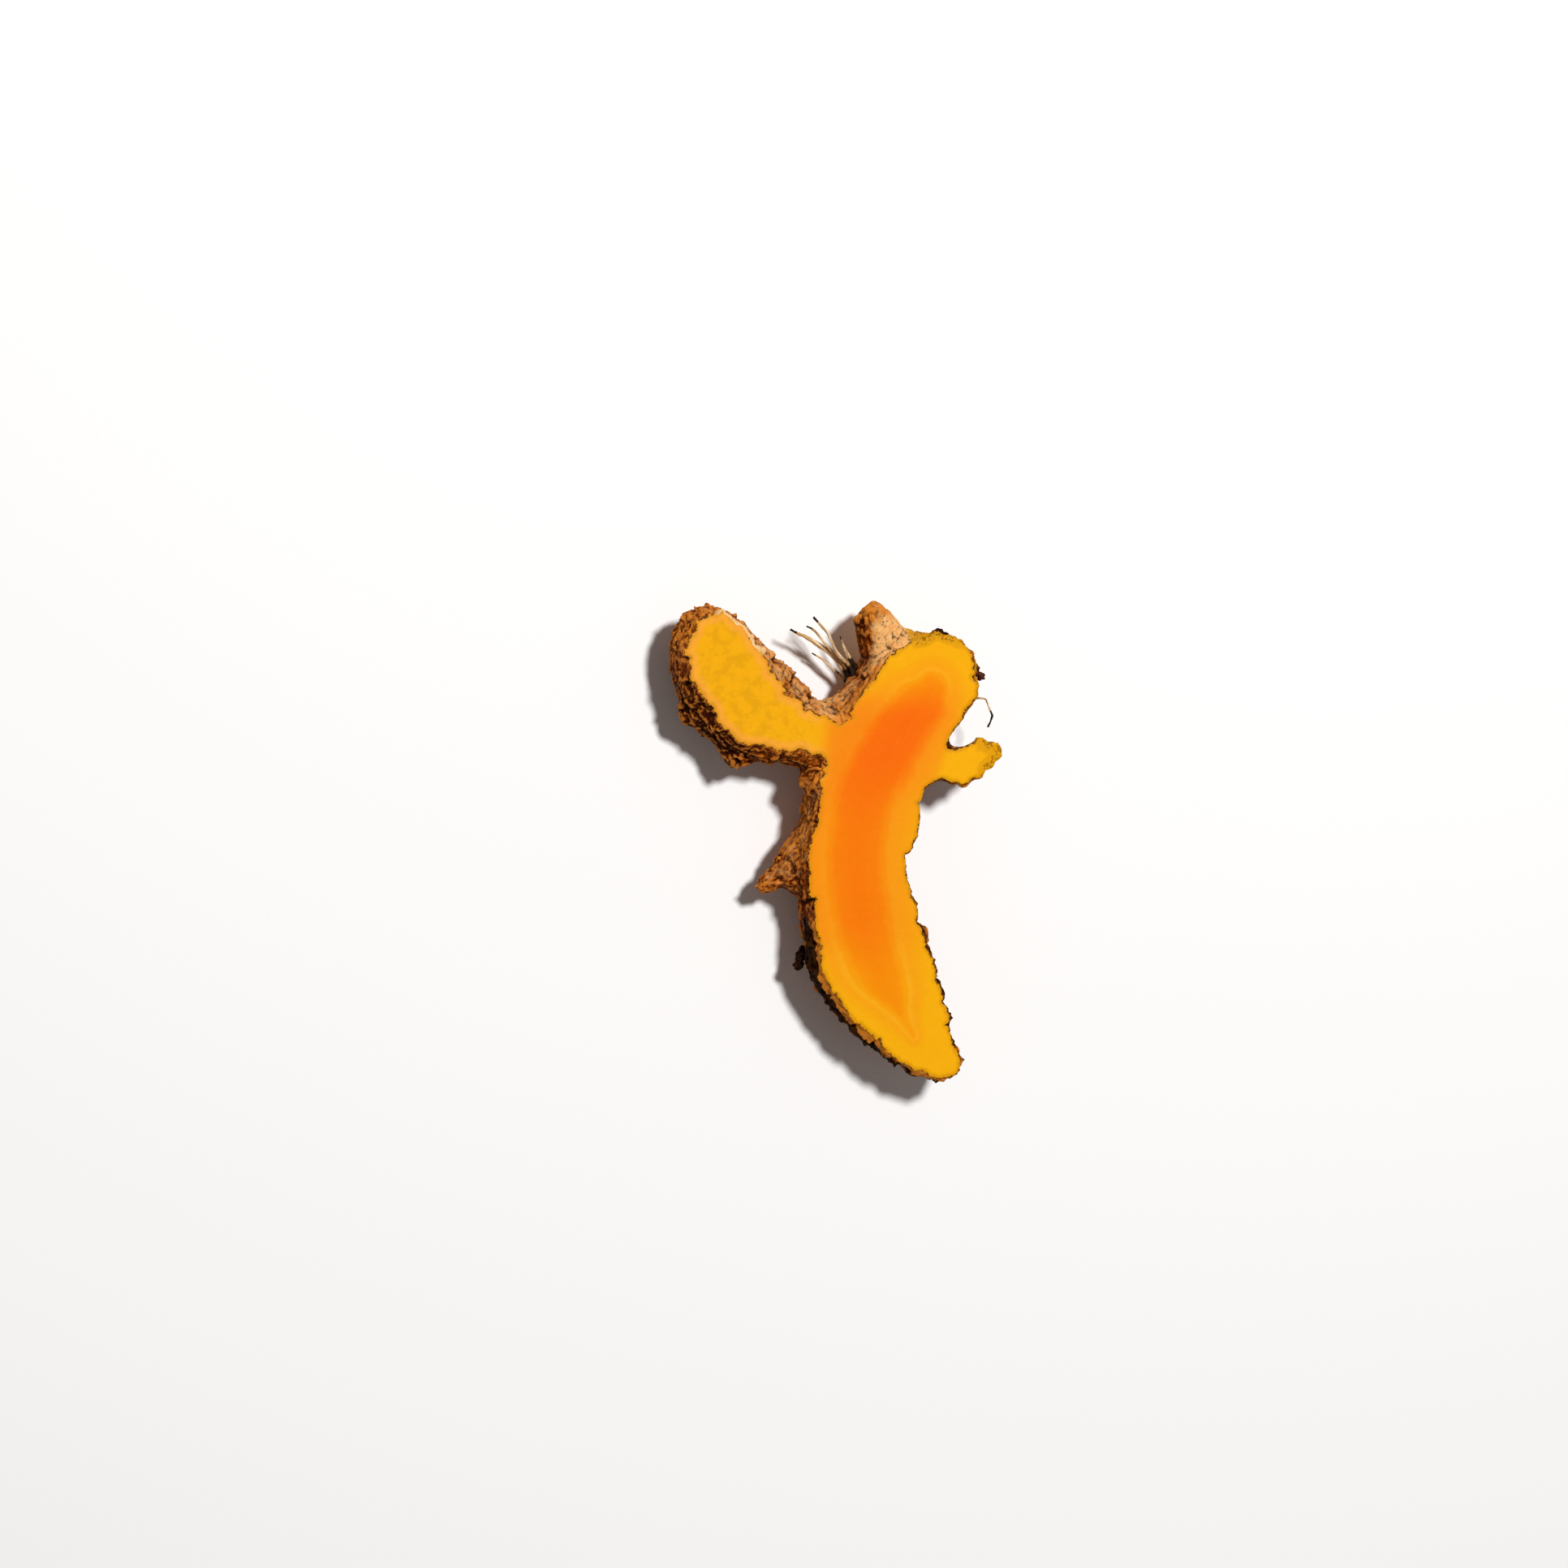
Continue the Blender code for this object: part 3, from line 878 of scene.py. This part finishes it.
# How golden it is: wholly in the finger and the shoot, and more so at the body's two ends.
finger_out = rise(-x, 0.5, 6.5) * rise(y, 8.0, 12.0)
past_foot = SHOOT_WAY[0] * (x - SHOOT_FOOT[0]) + SHOOT_WAY[1] * (y - SHOOT_FOOT[1])
shoot_out = rise(past_foot, -0.7, 0.9) * between(y, 5.0, 8.0, 16.0, 18.0)
body_ripe = 0.4 * rise(to_tail, 0.3, 0.5) + 0.6 * rise(to_tail, 0.64, 0.8) + 0.9 * rise(y, 20.0, 27.0)
ripe = np.maximum.reduce([body_ripe, finger_out, shoot_out]).clip(0, 1)
west = rise(spots["body"][:, 1], -1.0, 4.0) * (1 - finger_out) * (1 - ripe) * rise(heart, 1.0, 1.5)

# Where it dried to ochre: the edge of the top end, with the skin below, and the shoot's end.
top_edge = rise(y, 29.8, 31.3) * between(x, 11.0, 12.6, 18.0, 21.5)
top_edge *= rise(-from_rim, -1.7, -0.7) * rise(-depth, -8.0, -5.0)
shoot_end = rise(x, 21.5, 24.0) * rise(y, 9.5, 12.0)
shoot_end *= rise(-from_rim, -2.6, -0.8) * rise(-depth, -2.5, -1.0)

for name, values in {
    "grain": grain,
    "scar": scar,
    "hollow": hollow,
    "deep": deep,
    "heart": heart / HEART_REACH,
    "rim": from_rim,
    "ripe": ripe,
    "west": west,
    "finger_flesh": finger_out,
    "pale_edge": finger_out * rise(-from_rim, -2.2, -0.4),
    "bruise": np.maximum(top_edge, shoot_end),
    "bare": worn["bare"],
    "crust": worn["crust"],
    "tone": worn["tone"],
    "cream": worn["cream"] * rise(-from_rim, -0.45, -0.2),
}.items():
    store(mesh, name, values)
mesh.shade_smooth()
mesh.set_sharp_from_angle(angle=SHARP_EDGE)
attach(rhizome, "root")
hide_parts("rhizome_half")

# ---------------------------------------------------------------------------------------
# Rootlets: five thin roots left in one tuft in the notch between the finger and the bud,
# and a single hair on the other side, above the shoot. They dried to flattened, furrowed
# straws, nearly black where they leave the skin and at their broken tips.
# ---------------------------------------------------------------------------------------

# Each strand's route as shares of its own box, from inside the skin to the tip, with the
# radius in millimetres.
ROOTLETS = {
    "rootlet_long": [
        (1.09, -0.16, -0.04, 0.72),
        (1.00, 0.06, 0.18, 0.62),
        (0.87, 0.25, 0.39, 0.46),
        (0.77, 0.39, 0.53, 0.40),
        (0.60, 0.57, 0.60, 0.45),
        (0.44, 0.70, 0.67, 0.47),
        (0.28, 0.83, 0.74, 0.36),
        (0.15, 0.90, 0.78, 0.26),
        (0.02, 0.98, 0.82, 0.19),
    ],
    "rootlet_upper": [
        (1.03, -0.25, 0.00, 0.5),
        (0.94, -0.03, 0.18, 0.46),
        (0.79, 0.17, 0.40, 0.34),
        (0.64, 0.35, 0.60, 0.27),
        (0.52, 0.47, 0.72, 0.25),
        (0.36, 0.64, 0.80, 0.27),
        (0.25, 0.77, 0.84, 0.24),
        (0.14, 0.86, 0.88, 0.2),
        (0.02, 0.93, 0.90, 0.14),
    ],
    "rootlet_middle": [
        (1.00, -0.27, -0.40, 0.46),
        (0.90, -0.08, -0.05, 0.42),
        (0.78, 0.05, 0.18, 0.32),
        (0.67, 0.15, 0.38, 0.26),
        (0.51, 0.31, 0.66, 0.22),
        (0.40, 0.48, 0.80, 0.24),
        (0.29, 0.64, 0.88, 0.25),
        (0.13, 0.82, 0.90, 0.24),
        (-0.03, 0.96, 0.86, 0.22),
    ],
    "rootlet_dark": [
        (0.88, -0.84, -0.15, 1.0),
        (0.88, -0.36, 0.15, 0.85),
        (0.62, 0.03, 0.36, 0.5),
        (0.32, 0.34, 0.60, 0.32),
        (0.12, 0.64, 0.76, 0.22),
        (-0.06, 0.94, 0.88, 0.13),
    ],
    "rootlet_low": [
        (1.14, -0.18, 0.10, 0.42),
        (1.02, 0.12, 0.38, 0.34),
        (0.84, 0.34, 0.60, 0.26),
        (0.64, 0.56, 0.82, 0.22),
        (0.40, 0.80, 0.82, 0.2),
        (0.14, 1.00, 0.62, 0.13),
    ],
    "rootlet_hair": [
        (-0.60, 0.84, 0.60, 0.22),
        (-0.16, 0.86, 0.79, 0.18),
        (0.36, 0.80, 0.85, 0.16),
        (0.46, 0.70, 0.82, 0.17),
        (0.80, 0.36, 0.62, 0.17),
        (0.93, 0.24, 0.54, 0.2),
        (0.84, 0.06, 0.34, 0.18),
        (0.66, -0.16, 0.12, 0.19),
    ],
}

# How far a strand's bends stray from its route, in millimetres, how far it twists from each
# station to the next, in radians, its steps between stations, and how uneven its skin is.
KINKS = {"rootlet_hair": 0.12, "root_stub": 0.3}
USUAL_KINK = 0.2
TWIST = 0.9
STRAND_STEPS = 7
STRAND_UNEVEN = 0.05

# With its seed set, the noise that bends the strands is the same in each run.
KINK_SEED = 1
noise.seed_set(KINK_SEED)

# Where a strand turns dark, as shares of its length: from the base, and towards the tip.
DARK_ENDS = {"rootlet_hair": (0.05, 0.6), "rootlet_dark": (0.55, 0.97)}
USUAL_DARK_ENDS = (0.24, 0.95)

# Dried turmeric root: straw with long furrows 0.3 mm wide, painted brown as shade, black at base and
# tip.
straw, tree, shader, places = new_material("turmeric rootlet, dried")
furrow, base_or_tip = (
    node(tree, "ShaderNodeAttribute", "Fac", attribute_name=name) for name in ("furrow", "dark")
)
on_strand = node(tree, "ShaderNodeAttribute", "Vector", attribute_name="strand")
along_strand = node(tree, "ShaderNodeMapping", Vector=on_strand, Scale=(0.35, 3.0, 3.0))
streak = node(tree, "ShaderNodeTexNoise", Vector=along_strand, Scale=1.0, Detail=5, Roughness=0.65)
blotch = node(tree, "ShaderNodeTexNoise", Vector=places, Scale=0.55, Detail=4, Roughness=0.6)
colour = node(
    tree,
    "ShaderNodeValToRGB",
    Fac=streak,
    stops=[(0.3, "#8A5A2C"), (0.45, "#C79A62"), (0.6, "#E6CBA0"), (0.75, "#F4E6CA")],
)
torn_end = node(
    tree, "ShaderNodeMath", operation="MULTIPLY_ADD", Value=streak, Value_001=0.6, Value_002=base_or_tip
)
colour = lay_coats(
    tree,
    colour,
    [
        # Painted shade: darker where the strand's surface sinks into a furrow.
        (furrow, 0.5, 0.15, 0.85, "#3E200A"),
        (blotch, 0.54, 0.66, 0.75, "#542C10"),
        (torn_end, 0.6, 1.0, 0.97, "#120400"),
    ],
)
tree.links.new(colour, shader.inputs["Base Color"])
shader.inputs["Roughness"].default_value = 0.62
shader.inputs["Specular IOR Level"].default_value = 0.1
ribs = node(tree, "ShaderNodeBump", Height=streak, Strength=0.6, Distance=0.08 * MM)
tree.links.new(ribs, shader.inputs["Normal"])

# A withered strand's cross-section: a flattened ring with furrows pinched into it.
FURROWS = (1.0, 0.62, 0.95, 0.78, 1.05, 0.6, 0.9, 0.85, 1.0, 0.66, 1.08, 0.8)
FLATTENED = 0.82

bpy.ops.curve.primitive_bezier_circle_add(radius=MM)
furrowed = bpy.context.object
select_only(furrowed)
bpy.ops.object.mode_set(mode="EDIT")
bpy.ops.curve.select_all(action="SELECT")
bpy.ops.curve.subdivide(number_cuts=2)
bpy.ops.object.mode_set(mode="OBJECT")
furrowed.data.resolution_u = 2
for knot, squeeze in zip(furrowed.data.splines[0].bezier_points, FURROWS):
    knot.handle_left_type = "AUTO"
    knot.handle_right_type = "AUTO"
    knot.co = Vector((knot.co.x * squeeze, knot.co.y * squeeze * FLATTENED, 0))


def strand(name, route, material):
    """A withered root along a route through its own box, as a mesh that keeps how dark each
    part is and how deep it lies in a furrow."""
    corner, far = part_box(name)
    reach = far - corner
    stops = [corner + Vector([share * side for share, side in zip(stop, reach)]) for stop in route]
    kink = KINKS.get(name, USUAL_KINK)
    bpy.ops.curve.primitive_bezier_curve_add()
    piece = bpy.context.object
    piece.name = name + "_strand"
    piece.location = (0, 0, 0)
    wire = piece.data
    line = wire.splines[0]
    line.bezier_points.add(len(route) - 2)
    for index, knot in enumerate(line.bezier_points):
        knot.handle_left_type = "AUTO"
        knot.handle_right_type = "AUTO"
        knot.co = stops[index] + kink * MM * noise.noise_vector(stops[index] / MM * 1.3)
        knot.radius = route[index][3]
        knot.tilt = TWIST * index
    line.radius_interpolation = "CARDINAL"
    line.tilt_interpolation = "LINEAR"
    line.resolution_u = STRAND_STEPS
    wire.bevel_mode = "OBJECT"
    wire.bevel_object = furrowed
    wire.use_fill_caps = True
    select_only(piece)
    bpy.ops.object.convert(target="MESH")
    piece = bpy.context.object
    made = piece.data
    bpy.ops.object.mode_set(mode="EDIT")
    bpy.ops.mesh.select_all(action="SELECT")
    bpy.ops.mesh.remove_doubles(threshold=1e-7)
    bpy.ops.mesh.normals_make_consistent(inside=False)
    bpy.ops.object.mode_set(mode="OBJECT")

    spots = corners(made)
    middle = np.array(stops) / MM
    radius = np.array([stop[3] for stop in route])
    grown = np.concatenate([[0], np.cumsum(np.linalg.norm(np.diff(middle, axis=0), axis=1))])
    beside = follow((middle, radius, grown), spots)
    share = beside[:, 0] / grown[-1]
    sunk = 1 + beside[:, 3] / np.interp(beside[:, 0], grown, radius)
    base_end, tip_start = DARK_ENDS.get(name, USUAL_DARK_ENDS)
    dark = np.maximum(rise(base_end - share, -0.1, 0.1), rise(share, tip_start - 0.06, tip_start))
    move_corners(made, spots + facing(made) * (STRAND_UNEVEN * cloud(spots * 2.1))[:, None])
    store(made, "dark", dark)
    store(made, "furrow", sunk.clip(0, 1))
    store(made, "strand", beside[:, :3])
    made.materials.clear()
    made.materials.append(material)
    made.shade_smooth()
    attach(piece, "root")
    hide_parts(name)
    return piece


for name, route in ROOTLETS.items():
    strand(name, route, straw)

# ---------------------------------------------------------------------------------------
# The root stub on the lower left flank: a thick root that shrivelled to a black crumpled
# knob soon after the rhizome was lifted.
# ---------------------------------------------------------------------------------------

STUB = [
    (1.10, 1.20, 0.75, 1.1),
    (0.86, 0.97, 0.62, 1.0),
    (0.62, 0.74, 0.54, 1.05),
    (0.52, 0.50, 0.58, 0.95),
    (0.50, 0.32, 0.58, 0.85),
    (0.36, 0.14, 0.52, 0.5),
]
STUB_FOLDS = 0.32
STUB_RIDGES = 0.3

# Withered root: black-brown crumpled cork with a few rusty ridges, in folds of 0.6 mm.
withered, tree, shader, places = new_material("turmeric root stub, withered")
crumple = node(tree, "ShaderNodeTexNoise", Vector=places, Scale=1.6, Detail=6, Roughness=0.7)
colour = node(
    tree,
    "ShaderNodeValToRGB",
    Fac=crumple,
    stops=[(0.35, "#0A0301"), (0.55, "#260D03"), (0.68, "#58270A"), (0.8, "#8A4C1C")],
)
tree.links.new(colour, shader.inputs["Base Color"])
shader.inputs["Roughness"].default_value = 0.75
shader.inputs["Specular IOR Level"].default_value = 0.06
creases = node(tree, "ShaderNodeBump", Height=crumple, Strength=0.8, Distance=0.3 * MM)
tree.links.new(creases, shader.inputs["Normal"])

stub = strand("root_stub", STUB, withered)
apply(stub, "SUBSURF", levels=1, render_levels=1)
crumpled = corners(stub.data)
ridges = STUB_FOLDS * cloud(crumpled * 1.1) + STUB_RIDGES * (veins(crumpled * 0.9) - 0.5)
move_corners(stub.data, crumpled + facing(stub.data) * ridges[:, None])
bpy.data.objects.remove(furrowed)

# ---------------------------------------------------------------------------------------
# Two scraps of dry scale leaf still standing on the skin beside the cut: papery, torn and
# crumpled, gone nearly black at the top end and purple-brown on the right.
# ---------------------------------------------------------------------------------------

# Each scrap's three shades, dark to light, and how far inward it leans, in millimetres.
SCRAPS = {
    "scale_leaf_top": (("#100502", "#381809", "#6E3E12"), 1.35),
    "scale_leaf_side": (("#2A0E08", "#5C2A1A", "#A0663E"), 1.5),
}

# In millimetres: a scrap's thickness, how far it waves to and fro, how far its top leans
# out, and how crumpled it is. Its width is a share of its box's diagonal.
SCRAP_THICKNESS = 0.6
SCRAP_WAVE = 0.55
SCRAP_LEAN = 0.3
SCRAP_CRUMPLE = 0.3
SCRAP_WIDTH = 1.1

for name, (shades, inward) in SCRAPS.items():
    # Dry scale leaf: thin papery cork with nerves 0.5 mm apart.
    leaf, tree, shader, places = new_material(name.replace("_", " ") + ", dry and papery")
    upright = node(tree, "ShaderNodeMapping", Vector=places, Scale=(1, 1, 0.35))
    nerves = node(tree, "ShaderNodeTexNoise", Vector=upright, Scale=1.8, Detail=5, Roughness=0.7)
    colour = node(tree, "ShaderNodeValToRGB", Fac=nerves, stops=list(zip((0.35, 0.55, 0.75), shades)))
    tree.links.new(colour, shader.inputs["Base Color"])
    shader.inputs["Roughness"].default_value = 0.75
    shader.inputs["Specular IOR Level"].default_value = 0.1
    paper = node(tree, "ShaderNodeBump", Height=nerves, Strength=0.7, Distance=0.15 * MM)
    tree.links.new(paper, shader.inputs["Normal"])

    corner, far = (np.array(place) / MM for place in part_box(name))
    bpy.ops.mesh.primitive_grid_add(x_subdivisions=26, y_subdivisions=16, size=1, location=(0, 0, 0))
    scrap = bpy.context.object
    scrap.name = name + "_scrap"
    along, up, _ = (corners(scrap.data) * MM).T
    run = np.array([far[0] - corner[0], corner[1] - far[1]])
    outward = np.array([-run[1], run[0]]) / np.linalg.norm(run)
    seed = np.full_like(along, len(name))
    torn = cloud(np.column_stack([along * 5, seed, np.zeros_like(along)]))
    up = (up + 0.5) * (0.8 + 0.35 * torn)
    lean = SCRAP_WAVE * cloud(np.column_stack([along * 4.2, up * 1.4, seed])) + SCRAP_LEAN * up - inward
    sheet = np.zeros((len(along), 3))
    sheet[:, :2] = (corner + far)[:2] / 2 + along[:, None] * run * SCRAP_WIDTH + lean[:, None] * outward
    sheet[:, 2] = corner[2] + up * (far[2] - corner[2])
    move_corners(scrap.data, sheet)
    apply(scrap, "SOLIDIFY", thickness=SCRAP_THICKNESS * MM, offset=0)
    apply(scrap, "SUBSURF", levels=1, render_levels=1)
    crumpled = corners(scrap.data)
    creased = SCRAP_CRUMPLE * cloud(crumpled * 1.3)
    move_corners(scrap.data, crumpled + facing(scrap.data) * creased[:, None])
    scrap.data.materials.append(leaf)
    scrap.data.shade_smooth()
    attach(scrap, "root")
    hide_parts(name)

# ---------------------------------------------------------------------------------------
# The table: a plain pale floor under plain studio light. A key lamp stands high beyond the
# rhizome's top end, and a pale room fills the shadows.
# ---------------------------------------------------------------------------------------

FLOOR_WIDTH = 6.0
KEY_TURN = math.radians(74)
KEY_HEIGHT = math.radians(67.5)
KEY_DISTANCE = 1.2
KEY_WIDTH = 0.14
KEY_WATTS = 13.8
ROOM_LIGHT = 0.17

bpy.ops.mesh.primitive_plane_add(size=FLOOR_WIDTH, location=(0, 0, 0))
floor = bpy.context.object
floor.name = "floor"
paint, _, shader, _ = new_material("white table, matt painted")
shader.inputs["Base Color"].default_value = linear("#FAF9F8")
shader.inputs["Roughness"].default_value = 0.9
floor.data.materials.append(paint)

lamp = bpy.data.lights.new("key", "AREA")
lamp.shape = "DISK"
lamp.size = KEY_WIDTH
lamp.energy = KEY_WATTS
key = bpy.data.objects.new("key", lamp)
bpy.context.scene.collection.objects.link(key)
flat = math.cos(KEY_HEIGHT)
towards = Vector((math.cos(KEY_TURN) * flat, math.sin(KEY_TURN) * flat, math.sin(KEY_HEIGHT)))
key.location = towards * KEY_DISTANCE
key.rotation_euler = towards.to_track_quat("Z", "Y").to_euler()

room = bpy.data.worlds.new("pale room")
room.use_nodes = True
walls = room.node_tree.nodes["Background"]
walls.inputs["Color"].default_value = linear("#F8F1EE")
walls.inputs["Strength"].default_value = ROOM_LIGHT
bpy.context.scene.world = room
bpy.context.scene.view_settings.view_transform = "Standard"

# ---------------------------------------------------------------------------------------
# The camera looks almost straight down, leaning a little to the left and to the top.
# ---------------------------------------------------------------------------------------

# In metres: how far off it stands, how much it takes in, how wide its sensor is, and how
# far from the middle of the cut it looks.
CAMERA_DISTANCE = 1.0
FRAME_WIDTH = 0.251
SENSOR_WIDTH = 0.036
AIM_LEFT = 0.00937
AIM_UP = 0.01003
LEAN_LEFT = math.radians(17)
LEAN_UP = math.radians(8)

rightwards = Vector((math.cos(LEAN_LEFT), 0, math.sin(LEAN_LEFT)))
backwards = Vector((-math.sin(LEAN_LEFT), math.tan(LEAN_UP), math.cos(LEAN_LEFT))).normalized()
upwards = backwards.cross(rightwards)
middle = Vector(((low.x + high.x) / 2, (low.y + high.y) / 2, high.z))
aim = middle - rightwards * AIM_LEFT + upwards * AIM_UP
lens = bpy.data.cameras.new("camera")
lens.sensor_width = SENSOR_WIDTH / MM
lens.lens = SENSOR_WIDTH / MM * CAMERA_DISTANCE / FRAME_WIDTH
lens.clip_start = 0.05
camera = bpy.data.objects.new("camera", lens)
bpy.context.scene.collection.objects.link(camera)
turn = Matrix((rightwards, upwards, backwards)).transposed().to_4x4()
camera.matrix_world = Matrix.Translation(aim + backwards * CAMERA_DISTANCE) @ turn
bpy.context.scene.camera = camera
